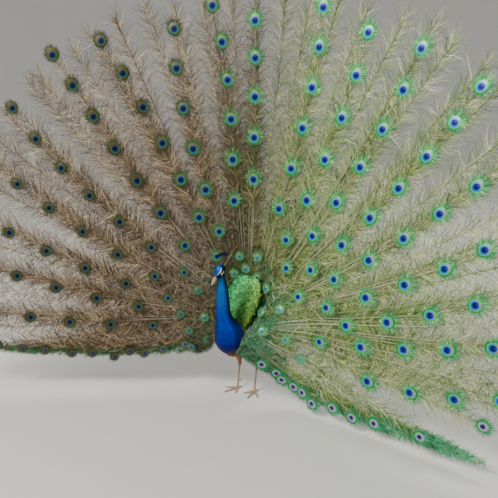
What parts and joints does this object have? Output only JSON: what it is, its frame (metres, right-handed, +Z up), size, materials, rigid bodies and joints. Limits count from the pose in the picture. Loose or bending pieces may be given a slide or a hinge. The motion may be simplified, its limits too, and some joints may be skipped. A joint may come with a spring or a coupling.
{
  "type": "peacock",
  "caption": "Life-size peacock standing in display, long train of eyed feathers raised in a fan behind a blue neck and breast.",
  "frame": {"origin": "centre of the bounding box, at the level of the flats under the toes", "axes": "+Z up; the bird looks along -Y; +X is the bird's left side and runs along the width of the fan"},
  "size_m": [3.0956, 0.8635, 2.059],
  "materials": {
    "train_plumage": "satin",
    "back_plumage": "satin",
    "blue_plumage": "satin",
    "crest_plumage": "satin",
    "brown_plumage": "matte",
    "feathered_flesh": "matte",
    "leg_scutes": "matte",
    "bill_horn": "satin",
    "claw_horn": "satin",
    "eye": "gloss"
  },
  "bodies": {
    "root": {"back_shield": "back_plumage", "bill_lower": "bill_horn", "bill_upper": "bill_horn", "breast": "blue_plumage", "crest": "crest_plumage", "eye_left": "eye", "eye_right": "eye", "foot_left": "leg_scutes", "foot_left_claw_hind": "claw_horn", "foot_left_claw_inner": "claw_horn", "foot_left_claw_middle": "claw_horn", "foot_left_claw_outer": "claw_horn", "foot_right": "leg_scutes", "foot_right_claw_hind": "claw_horn", "foot_right_claw_inner": "claw_horn", "foot_right_claw_middle": "claw_horn", "foot_right_claw_outer": "claw_horn", "head": "feathered_flesh", "neck": "blue_plumage", "tail": "brown_plumage", "tarsus_left": "leg_scutes", "tarsus_right": "leg_scutes", "thigh_left": "feathered_flesh", "thigh_right": "feathered_flesh", "train_01": "train_plumage", "train_02": "train_plumage", "train_03": "train_plumage", "train_04": "train_plumage", "train_05": "train_plumage", "train_06": "train_plumage", "train_07": "train_plumage", "train_08": "train_plumage", "train_09": "train_plumage", "train_10": "train_plumage", "train_11": "train_plumage", "train_12": "train_plumage", "trunk": "feathered_flesh", "vent": "brown_plumage", "wing_left": "brown_plumage", "wing_right": "brown_plumage"}
  },
  "joints": []
}
